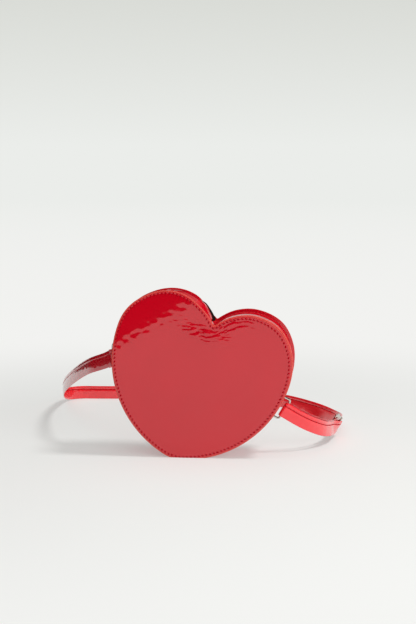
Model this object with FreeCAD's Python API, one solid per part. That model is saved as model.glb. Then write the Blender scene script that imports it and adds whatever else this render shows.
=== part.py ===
import FreeCAD, Part

import math
import os

from FreeCAD import Placement, Rotation, Vector

# A heart-shaped shoulder bag of patent sheet: two stiffened heart panels sewn to a gusset with
# turned-out flanges, a zip over the left lobe, and an adjustable strap held by two wire rings.
# Millimetres. The heart is drawn upright in the XZ plane with its tip at the origin, then leaned
# over and stood on the floor. -Y is the front.

# Heart outline: three tangent arcs a side and a small fillet in the notch
heart_height = 176.0
lobe_radius = 55.0
lobe_spacing = 86.8
tip_radius = 40.0
tip_half_degrees = 15.86
notch_radius = 1.5
lean_degrees = 16.6
base_flat = 2.5

# Sheets and depth
bag_depth = 60.0
panel_sheet = 1.2
gusset_sheet = 1.2
board_sheet = 1.5
lining_sheet = 0.5
edge_recess = 4.0
board_clearance = 0.3

# Zip over the left lobe, in degrees about the lobe's centre and back from the ends of its arc
zip_notch_degrees = 4.2
zip_side_degrees = 2.9
zip_mouth = 11.0
tape_sheet = 0.6
tape_width = 15.0
tape_parting = 1.6
tooth_height = 1.6
tooth_width = 1.25
tooth_length = 3.6
tooth_reach = 1.0
tooth_pitch = 3.2
teeth_notch_degrees = 6.0
teeth_side_degrees = 13.0
stop_width = 1.8
stop_degrees = 3.0

# Zip slider and pull
slider_side_degrees = 10.0
slider_length = 9.0
slider_width = 7.2
slider_plate = 1.0
slider_lip = 0.7
slider_clearance = 0.3
wedge_width = 1.2
wedge_length = 2.0
pin_radius = 0.6
pin_clearance = 0.05
pin_height = 1.6
lug_width = 0.8
lug_length = 2.6
pull_length = 18.0
pull_width = 5.0
pull_sheet = 1.0
pull_eye_wall = 0.7
pull_neck = 3.0
pull_hole_radius = 1.2

# Side rings and the tabs that hold them
ring_below_lobe = 40.45
ring_wire = 2.4
ring_opening = 22.0
ring_reach = 9.0
ring_corner = 3.0
ring_seat = 0.3
left_ring_swing = 50.0
right_ring_swing = 20.0
tab_width = 17.0
tab_length = 28.0
tab_sheet = 1.2
tab_clearance = 0.3

# Strap, standing on its edge
strap_width = 17.0
strap_sheet = 1.6
left_strap_drop = 1.5
fold_clearance = 0.3
strap_gap = 0.3
left_fold_length = 22.0
left_fold_droop = 18.0
loop_radius = 95.0
loop_end_degrees = 78.0
loop_straight = 50.0
front_layer_bow = 7.0

# Adjuster: a centre bar under the strap and two bars over it
adjuster_bar = 2.2
adjuster_slot = 20.6
adjuster_rail = 2.2
adjuster_reach = 7.0
tail_length = 12.0

# The strap's middle line, from the left fold to behind the bag, and on to the adjuster
left_route = [
    (-130.2, 40.7, 91.0), (-141.5, 64.0, 81.8), (-158.0, 100.0, 69.0), (-178.0, 150.0, 52.5),
    (-195.0, 203.0, 35.5), (-205.0, 255.0, 19.5), (-208.0, 294.0, 9.8), (-194.0, 314.0, 8.6),
    (-167.0, 314.0, 8.6), (-122.0, 318.0, 8.6), (-57.0, 325.0, 8.6), (-27.0, 321.5, 8.6),
]
right_route = [
    (-27.0, 321.5, 8.6), (3.0, 318.0, 8.6), (53.0, 298.0, 8.6), (87.0, 268.0, 8.6),
    (111.0, 236.0, 8.6), (129.0, 206.0, 8.6), (142.5, 176.0, 8.6), (151.5, 147.0, 9.7),
]
corner_share = 0.45

overrun = 5.0

half_depth = bag_depth / 2
lobe_offset = lobe_spacing / 2
lobe_height = heart_height - lobe_radius
strap_radius = ring_wire / 2 + fold_clearance
parts = {}


def side_arc():
    """Radius and centre of the right side's arc, tangent inside to the lobe's circle and the tip's."""
    angle = math.radians(tip_half_degrees)
    rise = lobe_height - tip_radius
    apart = tip_radius - lobe_radius
    along = rise * math.cos(angle) - lobe_offset * math.sin(angle)
    beyond_tip = (lobe_offset**2 + rise**2 - apart**2) / (2 * (along + apart))
    u = -beyond_tip * math.sin(angle)
    v = tip_radius + beyond_tip * math.cos(angle)
    return tip_radius + beyond_tip, (u, v)


def notch_centre():
    """Height of the notch fillet's centre, above the outline on the middle line."""
    reach = lobe_radius + notch_radius
    return lobe_height + math.sqrt(reach**2 - lobe_offset**2)


def polar(centre, radius, degrees, y=0):
    angle = math.radians(degrees)
    return Vector(centre[0] + radius * math.cos(angle), y, centre[1] + radius * math.sin(angle))


def arc(centre, radius, start, end, y=0):
    points = [polar(centre, radius, degrees, y) for degrees in (start, (start + end) / 2, end)]
    return Part.Arc(*points).toShape()


def direction(start, end):
    return math.degrees(math.atan2(end[1] - start[1], end[0] - start[0]))


def heart_wire(inset, y):
    """The outline drawn in by an inset, at one depth."""
    tip = (0, tip_radius)
    side_radius, side = side_arc()
    lobe = (lobe_offset, lobe_height)
    notch = (0, notch_centre())
    low = tip_half_degrees - 90
    high = direction(side, lobe)
    inner = direction(lobe, notch)
    half = [
        arc(tip, tip_radius - inset, -90, low, y),
        arc(side, side_radius - inset, low, high, y),
        arc(lobe, lobe_radius - inset, high, inner, y),
        arc(notch, notch_radius + inset, inner - 180, -90, y),
    ]
    other = [edge.mirror(Vector(0, 0, 0), Vector(1, 0, 0)) for edge in half]
    return Part.Wire(Part.__sortEdges__(half + other))


def heart_plate(inset, front, back):
    face = Part.Face(heart_wire(inset, front))
    return face.extrude(Vector(0, back - front, 0))


def heart_ring(outer, inner, front, back):
    hole = heart_plate(inner, front - overrun, back + overrun)
    return heart_plate(outer, front, back).cut(hole)


def sector(centre, inner, outer, start, end, front, back):
    """Part of a ring about a line along Y."""
    edges = [
        arc(centre, outer, start, end, front),
        Part.makeLine(polar(centre, outer, end, front), polar(centre, inner, end, front)),
        arc(centre, inner, end, start, front),
        Part.makeLine(polar(centre, inner, start, front), polar(centre, outer, start, front)),
    ]
    face = Part.Face(Part.Wire(edges))
    return face.extrude(Vector(0, back - front, 0))


def cylinder(centre, radius, front, back):
    start = Vector(centre[0], front, centre[1])
    return Part.makeCylinder(radius, back - front, start, Vector(0, 1, 0))


def mirrored(shape):
    return shape.mirror(Vector(0, 0, 0), Vector(1, 0, 0))


def front_and_back(shape):
    return shape, shape.mirror(Vector(0, 0, 0), Vector(0, 1, 0))


left_lobe = (-lobe_offset, lobe_height)
zip_from_degrees = direction(left_lobe, (0, notch_centre())) + zip_notch_degrees
zip_to_degrees = 180 - direction(side_arc()[1], (lobe_offset, lobe_height)) - zip_side_degrees
slider_degrees = zip_to_degrees - slider_side_degrees
web_outer = edge_recess
web_inner = web_outer + gusset_sheet
lining_inner = web_inner + lining_sheet


def zip_wedge():
    """All of the left lobe's rim that the zip takes up."""
    centre = Vector(left_lobe[0], 0, left_lobe[1])
    reach = lobe_radius + overrun
    start = polar(left_lobe, reach, zip_from_degrees)
    end = polar(left_lobe, reach, zip_to_degrees)
    edges = [
        Part.makeLine(centre, start),
        arc(left_lobe, reach, zip_from_degrees, zip_to_degrees),
        Part.makeLine(end, centre),
    ]
    wedge = Part.Face(Part.Wire(edges)).extrude(Vector(0, bag_depth + overrun, 0))
    wedge.translate(Vector(0, -(bag_depth + overrun) / 2, 0))
    return wedge


def make_panels():
    """Sheet, stiffening board and lining of the front, and the same at the back."""
    inset = lining_inner + board_clearance
    board_front = -half_depth + panel_sheet
    lining_front = board_front + board_sheet
    layers = {
        "panel": heart_plate(0, -half_depth, board_front),
        "board": heart_plate(inset, board_front, lining_front),
        "lining": heart_plate(inset, lining_front, lining_front + lining_sheet),
    }
    for name, shape in layers.items():
        parts["front_" + name], parts["back_" + name] = front_and_back(shape)


def make_gusset():
    """A web set in from the panels' edges, with a flange turned out along each panel."""
    flange_front = -half_depth + panel_sheet
    flange_back = flange_front + gusset_sheet
    web = heart_ring(web_outer, web_inner, flange_back, -flange_back)
    front_flange = heart_ring(0, web_inner, flange_front, flange_back)
    back_flange = heart_ring(0, web_inner, -flange_back, -flange_front)
    wedge = zip_wedge()
    whole = web.fuse([front_flange, back_flange]).removeSplitter()
    parts["gusset_band"] = whole.cut(wedge)
    lining = heart_ring(web_inner, lining_inner, flange_front, -flange_front)
    parts["gusset_lining"] = lining.cut(wedge)
    half_mouth = zip_mouth / 2
    strip_web = heart_ring(web_outer, web_inner, flange_back, -half_mouth)
    strip = strip_web.fuse(front_flange).removeSplitter().common(wedge)
    parts["zip_strip_front"], parts["zip_strip_back"] = front_and_back(strip)


tape_outer_radius = lobe_radius - web_inner
tape_inner_radius = tape_outer_radius - tape_sheet
tooth_outer_radius = tape_outer_radius + tooth_height


def rim_sector(inner, outer, middle_degrees, width, front, back):
    """A block on the left lobe's rim, as wide as a length along it."""
    half_angle = math.degrees(width / 2 / outer)
    start = middle_degrees - half_angle
    return sector(left_lobe, inner, outer, start, middle_degrees + half_angle, front, back)


def make_zip():
    """Two tapes under the strips, their teeth and the end stops."""
    tape = sector(left_lobe, tape_inner_radius, tape_outer_radius, zip_from_degrees, zip_to_degrees,
                  -tape_parting / 2 - tape_width, -tape_parting / 2)
    parts["zip_tape_front"], parts["zip_tape_back"] = front_and_back(tape)
    spacing = math.degrees(tooth_pitch / tooth_outer_radius)
    teeth_from = zip_from_degrees + teeth_notch_degrees
    teeth_to = zip_to_degrees - teeth_side_degrees
    count = int((teeth_to - teeth_from) / spacing)
    rows = {"front": 0, "back": spacing / 2}
    for name, shift in rows.items():
        teeth = []
        for i in range(count):
            middle = teeth_from + shift + i * spacing
            tooth = rim_sector(tape_outer_radius, tooth_outer_radius, middle, tooth_width,
                               tooth_reach - tooth_length, tooth_reach)
            teeth.append(tooth if name == "front" else front_and_back(tooth)[1])
        parts["zip_teeth_" + name] = Part.makeCompound(teeth)
    half_chain = tooth_length - tooth_reach
    top_stop = rim_sector(tape_outer_radius, tooth_outer_radius, zip_to_degrees - stop_degrees,
                          stop_width, -half_chain, -tape_parting / 2)
    parts["zip_top_stops"] = Part.makeCompound(list(front_and_back(top_stop)))
    parts["zip_bottom_stop"] = rim_sector(tape_outer_radius, tooth_outer_radius,
                                          zip_from_degrees + stop_degrees, stop_width,
                                          -half_chain, half_chain)


plate_bottom = tooth_outer_radius + slider_clearance
plate_top = plate_bottom + slider_plate
pin_place_radius = plate_top + pin_height


def make_slider():
    """Two plates either side of the chain, joined by the wedge that parts it, and lugs with a pin."""
    half = slider_width / 2
    floor_top = tape_inner_radius - slider_clearance
    floor_bottom = floor_top - slider_plate
    lip_bottom = tape_outer_radius + slider_clearance
    top = rim_sector(plate_bottom, plate_top, slider_degrees, slider_length, -half, half)
    bottom = rim_sector(floor_bottom, floor_top, slider_degrees, slider_length, -half, half)
    lip = rim_sector(lip_bottom, plate_top, slider_degrees, slider_length, -half, slider_lip - half)
    wedge_shift = math.degrees((slider_length - wedge_length) / 2 / plate_top)
    wedge = rim_sector(floor_bottom, plate_top, slider_degrees + wedge_shift, wedge_length,
                       -wedge_width / 2, wedge_width / 2)
    pin_place = pin_centre()
    eye_half = pull_neck / 2 + pin_clearance
    pin = cylinder(pin_place, pin_radius, -eye_half - lug_width, eye_half + lug_width)
    lug = rim_sector(plate_bottom, pin_place_radius + pin_radius + pull_eye_wall, slider_degrees,
                     lug_length, -eye_half - lug_width, -eye_half)
    pieces = [bottom, wedge, pin, *front_and_back(lip), *front_and_back(lug)]
    parts["zip_slider"] = top.fuse(pieces).removeSplitter()


def pin_centre():
    place = polar(left_lobe, pin_place_radius, slider_degrees)
    return place.x, place.z


def make_pull():
    """An eye on the slider's pin and a flat tab, lying along the rim towards the zip's end."""
    eye_radius = pin_radius + pin_clearance + pull_eye_wall
    shoulder = eye_radius + pull_neck
    eye = Part.makeCylinder(eye_radius, pull_neck, Vector(0, -pull_neck / 2, 0), Vector(0, 1, 0))
    neck = Part.makeBox(shoulder, pull_neck, pull_sheet, Vector(0, -pull_neck / 2, -pull_sheet / 2))
    blade = Part.makeBox(pull_length - shoulder - pull_width / 2, pull_width, pull_sheet,
                         Vector(shoulder, -pull_width / 2, -pull_sheet / 2))
    end = Vector(pull_length - pull_width / 2, 0, -pull_sheet / 2)
    tip = Part.makeCylinder(pull_width / 2, pull_sheet, end)
    bore = Part.makeCylinder(pin_radius + pin_clearance, pull_neck + overrun,
                             Vector(0, -(pull_neck + overrun) / 2, 0), Vector(0, 1, 0))
    hole = Part.makeCylinder(pull_hole_radius, pull_sheet + overrun,
                             end - Vector(0, 0, overrun / 2))
    pull = eye.fuse([neck, blade, tip]).removeSplitter().cut(bore).cut(hole)
    u, v = pin_centre()
    along_rim = -(slider_degrees + 90)
    pull.Placement = Placement(Vector(u, 0, v), Rotation(Vector(0, 1, 0), along_rim))
    parts["zip_pull"] = pull


def ring_frame():
    """Place of the right ring's pivot: X out of the gusset, Y to the back, Z up along the rim."""
    side_radius, side = side_arc()
    lobe_end = direction(side, (lobe_offset, lobe_height))
    angle = lobe_end - math.degrees(ring_below_lobe / side_radius)
    web_radius = side_radius - edge_recess
    pivot = polar(side, web_radius + ring_seat + ring_wire / 2, angle)
    return Placement(pivot, Rotation(Vector(0, 1, 0), -angle)), web_radius, side, angle


def make_tabs():
    """A strip across the gusset that loops over the ring's bar."""
    frame, web_radius, side, angle = ring_frame()
    half_angle = math.degrees(tab_width / 2 / web_radius)
    wings = sector(side, web_radius, web_radius + tab_sheet, angle - half_angle, angle + half_angle,
                   -tab_length / 2, tab_length / 2)
    inner = ring_wire / 2 + tab_clearance
    outer = inner + tab_sheet
    loop = bar_cover(outer, tab_width)
    hollow = bar_cover(inner, tab_width + overrun)
    for shape in (loop, hollow):
        shape.Placement = frame
    web = cylinder(side, web_radius, -tab_length, tab_length)
    tab = wings.fuse(loop).removeSplitter().cut(hollow).cut(web)
    parts["ring_tab_right"] = tab
    parts["ring_tab_left"] = mirrored(tab)


def bar_cover(radius, length):
    """A round cover over the ring's bar, with straight sides down to the web."""
    low = Vector(0, 0, -length / 2)
    sides = Part.makeBox(edge_recess, 2 * radius, length, low - Vector(edge_recess, radius, 0))
    return Part.makeCylinder(radius, length, low).fuse(sides)


def wire_ring():
    """A rounded oblong of wire, its inner bar on the local Z axis and its reach along X."""
    reach = ring_reach + ring_wire
    half = (ring_opening + ring_wire) / 2
    corner = ring_corner
    shoulder = corner * math.sqrt(2) / 2
    corners = [(0, -1, 1), (reach, -1, -1), (reach, 1, -1), (0, 1, 1)]
    edges = []
    ends = []
    for x, side, turn in corners:
        centre = Vector(x + turn * corner, 0, side * (half - corner))
        along_z = centre - Vector(turn * corner, 0, 0)
        along_x = centre + Vector(0, 0, side * corner)
        middle = centre + Vector(-turn * shoulder, 0, side * shoulder)
        edges.append(Part.Arc(along_z, middle, along_x).toShape())
        ends.append((along_z, along_x))
    edges.append(Part.makeLine(ends[0][1], ends[1][1]))
    edges.append(Part.makeLine(ends[1][0], ends[2][0]))
    edges.append(Part.makeLine(ends[2][1], ends[3][1]))
    edges.append(Part.makeLine(ends[3][0], ends[0][0]))
    path = Part.Wire(Part.__sortEdges__(edges))
    start = ends[3][0]
    section = Part.Wire(Part.makeCircle(ring_wire / 2, start, Vector(0, 0, 1)))
    return path.makePipeShell([section], True, False)


def swung(shape, degrees):
    turned = shape.copy()
    turned.rotate(Vector(0, 0, 0), Vector(0, 0, 1), degrees)
    return turned


def make_rings():
    frame = ring_frame()[0]
    for side, swing in (("right", right_ring_swing), ("left", left_ring_swing)):
        ring = swung(wire_ring(), swing)
        ring.Placement = frame.multiply(ring.Placement)
        parts["strap_ring_" + side] = ring if side == "right" else mirrored(ring)


def strap_prism(edges):
    """A band cut from its edge view in the ring's local XY plane."""
    face = Part.Face(Part.Wire(Part.__sortEdges__(edges)))
    face.translate(Vector(0, 0, -strap_width / 2))
    return face.extrude(Vector(0, 0, strap_width))


def flat(x, y):
    return Vector(x, y, 0)


def heading(degrees):
    angle = math.radians(degrees)
    return flat(math.cos(angle), math.sin(angle))


def step(point, degrees, length):
    return point + heading(degrees) * length


def flat_arc(centre, radius, start, end):
    points = [step(centre, degrees, radius) for degrees in (start, (start + end) / 2, end)]
    return Part.Arc(*points).toShape(), points[0], points[2]


def band_arc(centre, radius, start, end):
    """Part of a round band of strap, by the radius of its middle."""
    outer, outer_start, outer_end = flat_arc(centre, radius + strap_sheet / 2, start, end)
    inner, inner_start, inner_end = flat_arc(centre, radius - strap_sheet / 2, start, end)
    caps = [Part.makeLine(outer_start, inner_start), Part.makeLine(outer_end, inner_end)]
    return strap_prism([outer, inner, *caps])


def band_line(start, degrees, length):
    """A straight band of strap, by its middle line."""
    across = heading(degrees + 90) * (strap_sheet / 2)
    end = step(start, degrees, length)
    corners = [start + across, end + across, end - across, start - across]
    lines = [Part.makeLine(corners[i - 1], corner) for i, corner in enumerate(corners)]
    return strap_prism(lines)


layer_offset = strap_radius + strap_sheet / 2


def make_left_end():
    """The strap's end folded round the left ring's outer bar, low on it and drooping from it."""
    swing = left_ring_swing
    lowered = Placement(Vector(0, 0, -left_strap_drop), Rotation())
    frame = ring_frame()[0].multiply(lowered)
    bar = heading(swing) * (ring_reach + ring_wire)
    fold = [band_arc(bar, layer_offset, swing + 90, swing + 270)]
    droop = Rotation(heading(swing + 90), left_fold_droop)
    for side in (90, -90):
        leg = band_line(step(bar, swing + side, layer_offset), swing, left_fold_length)
        leg.rotate(bar, heading(swing + 90), left_fold_droop)
        fold.append(leg)
    fold = fold[0].fuse(fold[1:]).removeSplitter()
    fold.Placement = frame.multiply(fold.Placement)
    parts["strap_end_left"] = mirrored(fold)
    along = droop.multVec(heading(swing))
    start = step(bar, swing - 90, layer_offset) + along * (left_fold_length + strap_gap)
    start = frame.multVec(start)
    return Vector(-start.x, start.y, start.z)


def make_right_loop():
    """Two layers from the right ring to the adjuster, and the adjuster with the tail sewn to its bar."""
    frame = ring_frame()[0]
    swing = right_ring_swing
    bar = heading(swing) * (ring_reach + ring_wire)
    centre = step(bar, swing + 90, loop_radius)
    bend = band_arc(bar, layer_offset, swing + 90, swing + 270)
    back_radius = loop_radius - layer_offset
    curve = band_arc(centre, back_radius, swing - 90, loop_end_degrees - 90)
    straight_start = step(centre, loop_end_degrees - 90, back_radius)
    straight = band_line(straight_start, loop_end_degrees, loop_straight)
    parts["strap_loop_back"] = bend.fuse([curve, straight]).removeSplitter()

    tail_radius = adjuster_bar / 2 + fold_clearance + strap_sheet / 2
    over_tail = tail_radius + strap_sheet + strap_gap
    on_strap = step(straight_start, loop_end_degrees, loop_straight / 2)
    middle = step(on_strap, loop_end_degrees - 90, over_tail)
    tail_bend = band_arc(middle, tail_radius, loop_end_degrees - 90, loop_end_degrees + 90)
    tail_legs = []
    for side in (90, -90):
        leg_start = step(middle, loop_end_degrees + side, tail_radius)
        tail_legs.append(band_line(leg_start, loop_end_degrees + 180, tail_length))
    parts["strap_tail_loop"] = tail_bend.fuse(tail_legs).removeSplitter()

    front_start = step(bar, swing - 90, layer_offset)
    tail_end = step(middle, loop_end_degrees - 90, tail_radius)
    front_end = step(tail_end, loop_end_degrees + 180, tail_length + strap_gap)
    parts["strap_loop_front"] = front_layer(front_start, front_end, swing)
    parts["strap_adjuster"] = adjuster(middle, over_tail)

    names = ("strap_loop_back", "strap_tail_loop", "strap_loop_front", "strap_adjuster")
    for name in names:
        parts[name].Placement = frame.multiply(parts[name].Placement)
    end = step(straight_start, loop_end_degrees, loop_straight + strap_gap)
    return frame.multVec(end), frame.multVec(middle), frame.Rotation.multVec(heading(loop_end_degrees))


def front_layer(start, end, swing):
    """The layer sewn to the adjuster, bowed out further than the other one."""
    start = step(start, swing, strap_gap)
    chord = end - start
    half_chord = chord.Length / 2
    bow = front_layer_bow + loop_radius - math.sqrt(loop_radius**2 - half_chord**2)
    radius = (half_chord**2 + bow**2) / (2 * bow)
    facing = math.degrees(math.atan2(chord.y, chord.x)) - 90
    centre = step(start + chord / 2, facing, bow - radius)
    half_angle = math.degrees(math.asin(half_chord / radius))
    return band_arc(centre, radius, facing - half_angle, facing + half_angle)


def adjuster(middle, over_tail):
    """Centre bar, two outer bars over the strap, and the rails that join them."""
    bar = adjuster_bar / 2
    rise = over_tail + strap_sheet / 2 + strap_gap + bar
    half_slot = adjuster_slot / 2
    length = adjuster_slot + 2 * adjuster_rail
    low = Vector(0, 0, -half_slot - adjuster_rail)
    outer = [step(step(middle, loop_end_degrees + 90, rise), loop_end_degrees, side * adjuster_reach)
             for side in (-1, 1)]
    bars = [Part.makeCylinder(bar, length, place + low) for place in (middle, *outer)]
    ring = [middle, *outer]
    rail_edges = [Part.makeLine(ring[i - 1], place) for i, place in enumerate(ring)]
    rail = Part.Face(Part.Wire(Part.__sortEdges__(rail_edges))).extrude(Vector(0, 0, adjuster_rail))
    rails = []
    for height in (low.z, half_slot):
        plate = rail.copy()
        plate.translate(Vector(0, 0, height))
        rails.append(plate)
    return bars[0].fuse(bars[1:] + rails).removeSplitter()


def route_wire(name, points):
    """Straight runs joined by arcs as large as the runs allow."""
    edges = []
    radii = []
    start = points[0]
    for i in range(1, len(points) - 1):
        back = points[i - 1] - points[i]
        ahead = points[i + 1] - points[i]
        turn = math.pi - back.getAngle(ahead)
        cut = corner_share * min(back.Length, ahead.Length)
        radius = cut / math.tan(turn / 2)
        back.normalize()
        ahead.normalize()
        before = points[i] + back * cut
        after = points[i] + ahead * cut
        inward = back + ahead
        inward.normalize()
        middle = points[i] + inward * (radius / math.cos(turn / 2) - radius)
        edges.append(Part.LineSegment(start, before).toShape())
        edges.append(Part.Arc(before, middle, after).toShape())
        radii.append(round(radius))
        start = after
    edges.append(Part.LineSegment(start, points[-1]).toShape())
    wire = Part.Wire(edges)
    print(name, "length", round(wire.Length, 1), "radii", radii)
    return wire


def strap_section(place, along, upright):
    """The strap's cut across a route, its width as near a given direction as it can be."""
    across = upright.cross(along)
    across.normalize()
    up = along.cross(across)
    up.normalize()
    across *= strap_sheet / 2
    up *= strap_width / 2
    corners = [place + across + up, place - across + up, place - across - up, place + across - up]
    return Part.makePolygon(corners + corners[:1])


def strap_run(name, points, end_upright):
    """The strap on its edge along a route, turning to the lean of what its far end meets."""
    wire = route_wire(name, points)
    last = len(points) - 1
    upper_edge = []
    for i, point in enumerate(points):
        along = points[min(i + 1, last)] - points[max(i - 1, 0)]
        along.normalize()
        up = Vector(0, 0, 1) * (1 - i / last) + end_upright * (i / last)
        up -= along * up.dot(along)
        up.normalize()
        upper_edge.append(point + up * (strap_width / 2))
    sweep = Part.BRepOffsetAPI.MakePipeShell(wire)
    sweep.setAuxiliarySpine(route_wire(name + " upper edge", upper_edge), True, 0)
    sweep.add(strap_section(points[0], points[1] - points[0], Vector(0, 0, 1)))
    sweep.build()
    sweep.makeSolid()
    solid = sweep.shape()
    print(name, "volume", round(solid.Volume), "section by length",
          round(strap_width * strap_sheet * wire.Length))
    parts[name] = solid


def stand(bag):
    """Placement that leans the heart over and stands it on the floor with its box centred."""
    lean = Placement(Vector(0, 0, 0), Rotation(Vector(0, 1, 0), lean_degrees))
    boxes = []
    for name in bag:
        shape = parts[name].copy()
        shape.Placement = lean.multiply(shape.Placement)
        boxes.append(shape.optimalBoundingBox(False, False))
    left = min(box.XMin for box in boxes)
    right = max(box.XMax for box in boxes)
    low = min(box.ZMin for box in boxes)
    shift = Vector(-(left + right) / 2, 0, -low - base_flat)
    return Placement(shift, lean.Rotation)


def flatten_base(names):
    """Press the lowest edges flat where the bag stands."""
    size = 2 * heart_height
    below = Part.makeBox(size, size, size, Vector(-size / 2, -size / 2, -size))
    for name in names:
        parts[name] = parts[name].cut(below)


def solid_of(shape):
    solids = shape.Solids
    return solids[0] if len(solids) == 1 else Part.makeCompound(solids)


def main():
    make_panels()
    make_gusset()
    make_zip()
    make_slider()
    make_pull()
    make_tabs()
    make_rings()
    bag = list(parts)
    left_start = make_left_end()
    right_end, adjuster_place, adjuster_way = make_right_loop()

    standing = stand(bag)
    for name in parts:
        parts[name].Placement = standing.multiply(parts[name].Placement)
    flatten_base(["front_panel", "back_panel", "gusset_band"])

    left_start = standing.multVec(left_start)
    right_end = standing.multVec(right_end)
    rim = standing.Rotation.multVec(ring_frame()[0].Rotation.multVec(Vector(0, 0, 1)))
    strap_run("strap_left", [left_start] + [Vector(*point) for point in left_route], Vector(0, 0, 1))
    strap_run("strap_right", [Vector(*point) for point in right_route] + [right_end], rim)

    frame = ring_frame()[0]
    axis = frame.Rotation.multVec(Vector(0, 0, 1))
    pin = pin_centre()
    places = {
        "zip centre": Vector(left_lobe[0], 0, left_lobe[1]),
        "pull pin": Vector(pin[0], 0, pin[1]),
        "right ring": frame.Base,
        "left ring": Vector(-frame.Base.x, 0, frame.Base.z),
        "adjuster": adjuster_place,
    }
    ways = {"right ring": axis, "left ring": Vector(-axis.x, 0, axis.z), "adjuster": adjuster_way}
    for name, place in places.items():
        print(name, "at", standing.multVec(place))
    for name, way in ways.items():
        print(name, "axis", standing.Rotation.multVec(way))
    print("strap from", left_start, "to", right_end)

    for name, shape in parts.items():
        solid = solid_of(shape)
        solid.exportStep("parts/" + name + ".step")
        print(name, len(solid.Solids), solid.isValid(), round(solid.Volume, 1))


os.makedirs("parts", exist_ok=True)
main()
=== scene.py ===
import math

import bmesh
import bpy
from mathutils import Matrix, Vector, noise


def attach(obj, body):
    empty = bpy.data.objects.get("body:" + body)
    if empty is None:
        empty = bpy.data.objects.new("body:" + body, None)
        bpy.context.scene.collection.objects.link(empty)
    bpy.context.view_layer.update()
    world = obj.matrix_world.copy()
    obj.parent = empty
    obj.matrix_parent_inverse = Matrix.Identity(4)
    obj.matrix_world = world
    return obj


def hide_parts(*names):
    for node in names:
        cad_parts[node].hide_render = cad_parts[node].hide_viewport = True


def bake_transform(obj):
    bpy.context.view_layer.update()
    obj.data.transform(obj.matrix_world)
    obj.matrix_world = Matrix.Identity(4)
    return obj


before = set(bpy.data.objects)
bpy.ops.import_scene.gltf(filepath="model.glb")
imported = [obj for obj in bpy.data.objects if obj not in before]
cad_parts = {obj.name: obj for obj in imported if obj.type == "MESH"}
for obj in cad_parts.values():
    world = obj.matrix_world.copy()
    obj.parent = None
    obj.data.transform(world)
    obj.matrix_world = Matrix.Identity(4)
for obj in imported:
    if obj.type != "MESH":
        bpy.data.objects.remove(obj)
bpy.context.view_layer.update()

bpy.context.scene.view_settings.view_transform = "Standard"

# A heart-shaped patent bag, dressed over its solids. Lengths are in millimetres until a mesh is made.
# The heart is drawn upright, u to the right and v up from its tip, with y to the back; stand() leans
# it over as the solids are.
mm = 0.001
lean = math.radians(16.6)
tip_place = (-29.596, -0.826)
half_depth = 30.0

# Rim of the heart as arcs, counter-clockwise: centre, radius, first and last degrees, and 1 where
# drawing the rim in makes the arc smaller. The zip takes an arc of its own, and its tape runs on a little.
lobe_radius = 55.0
side_radius = 120.4958
zip_centre = (-43.4, 121.0)
right_lobe = (43.4, 121.0)
band_arcs = [
    (zip_centre, lobe_radius, 174.0, 176.877, 1),
    ((21.9985, 117.4315), side_radius, 176.877, 254.14, 1),
    ((0.0, 40.0), 40.0, 254.14, 285.86, 1),
    ((-21.9985, 117.4315), side_radius, -74.14, 3.123, 1),
    (right_lobe, lobe_radius, 3.123, 140.187, 1),
    ((0.0, 157.1758), 1.5, -39.813, -140.187, -1),
    (zip_centre, lobe_radius, 39.813, 44.0, 1),
]
zip_arcs = [(zip_centre, lobe_radius, 44.0, 174.0, 1)]
tape_arcs = [(zip_centre, lobe_radius, 40.2, 174.0, 1)]
panel_middle = (0.0, 95.0)
rim_step = 1.3
least_radius = 6.0
sharp_from = math.radians(50)

# The left lobe's sheets lie back beyond this line across the front
fold_from = (-86.2, 95.3)
fold_normal = (-0.748, 0.664)
fold_start = 8.0
fold_soft = 4.0
fold_slope = 0.165

# How the soft edges swell or are drawn in: each bulge's height, its direction round a centre and its
# spread, both in degrees
left_dip = (1.2, 132, 20)
left_front_dip = (1.6, 64, 15)
right_bulge = (1.5, 60, 18)
right_side_dip = (0.6, 12, 14)
right_top_dip = (1.1, 118, 18)
right_front_dip = (0.9, 118, 18)
wide_margin = (1.8, 42, 36)
notch_slump = (2.2, 54, 12)
# The back of the left lobe slumps between two directions; each comes with the degrees it takes to fade
lobe_slump = 2.6
slump_start = (36, 5)
slump_end = (165, 60)
slump_clear = (0.5, 5)
# By the notch the front edge shifts to the right and both edges sag, within a reach across and up
notch_height = 156
notch_shift = 2.1
shift_reach = (16, 14)
notch_sag = 2.6
sag_reach = (11, 16)
slider_room = 4.0

# Heights of the creases beside the notch and by the fold, of the swell below the notch and of the
# sheet's long ripple
left_crease = 1.45
right_crease = 1.2
fold_crease = 0.45
notch_swell = 0.8
sheet_ripple = 0.12
# Where they lie: a middle and a reach one way, then the other. To the right of the notch these go by the
# direction round the lobe, in radians, and the distance from its centre.
left_area = (-9, 24, 143, 8)
right_area = (2.1, 0.45, 45, 5)
swell_area = (3, 17, 140, 6)
fold_area = (7, 7)
fold_fade = (20, 30)
# Their usual lengths and heights
long_streak, short_streak = (13, 3.2), (5, 1.9)
long_row, short_row = (15, 3.2), (7, 1.9)
fold_size = (8, 6)
ripple_size = (38, 30)

# The row of stitches round each panel, and a finer one inside that holds the flange
seam_inset = 3.2
seam_pitch = 4.2
seam_sink = 0.2
margin_end = 8.0
stitch_length = 3.0
stitch_slant = -0.6
panel_thread = 1.65
flange_thread = 0.4
flange_row = (2.2, 2.4)

# Pitch, length and thickness of the finer stitches along the zip and on the tabs
zip_stitch = (3.4, 2.5, 0.5)
tab_stitch = (3.0, 2.3, 0.5)

# Strap, standing on its edge
strap_swell = 0.16
swell_length = 7.0
outer_stitch = (3.6, 2.7, 0.5)
inner_stitch = (3.6, 3.3, 0.8)
outer_rise = 0.66
inner_sink = 0.4
lap_shift = 0.1

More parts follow.
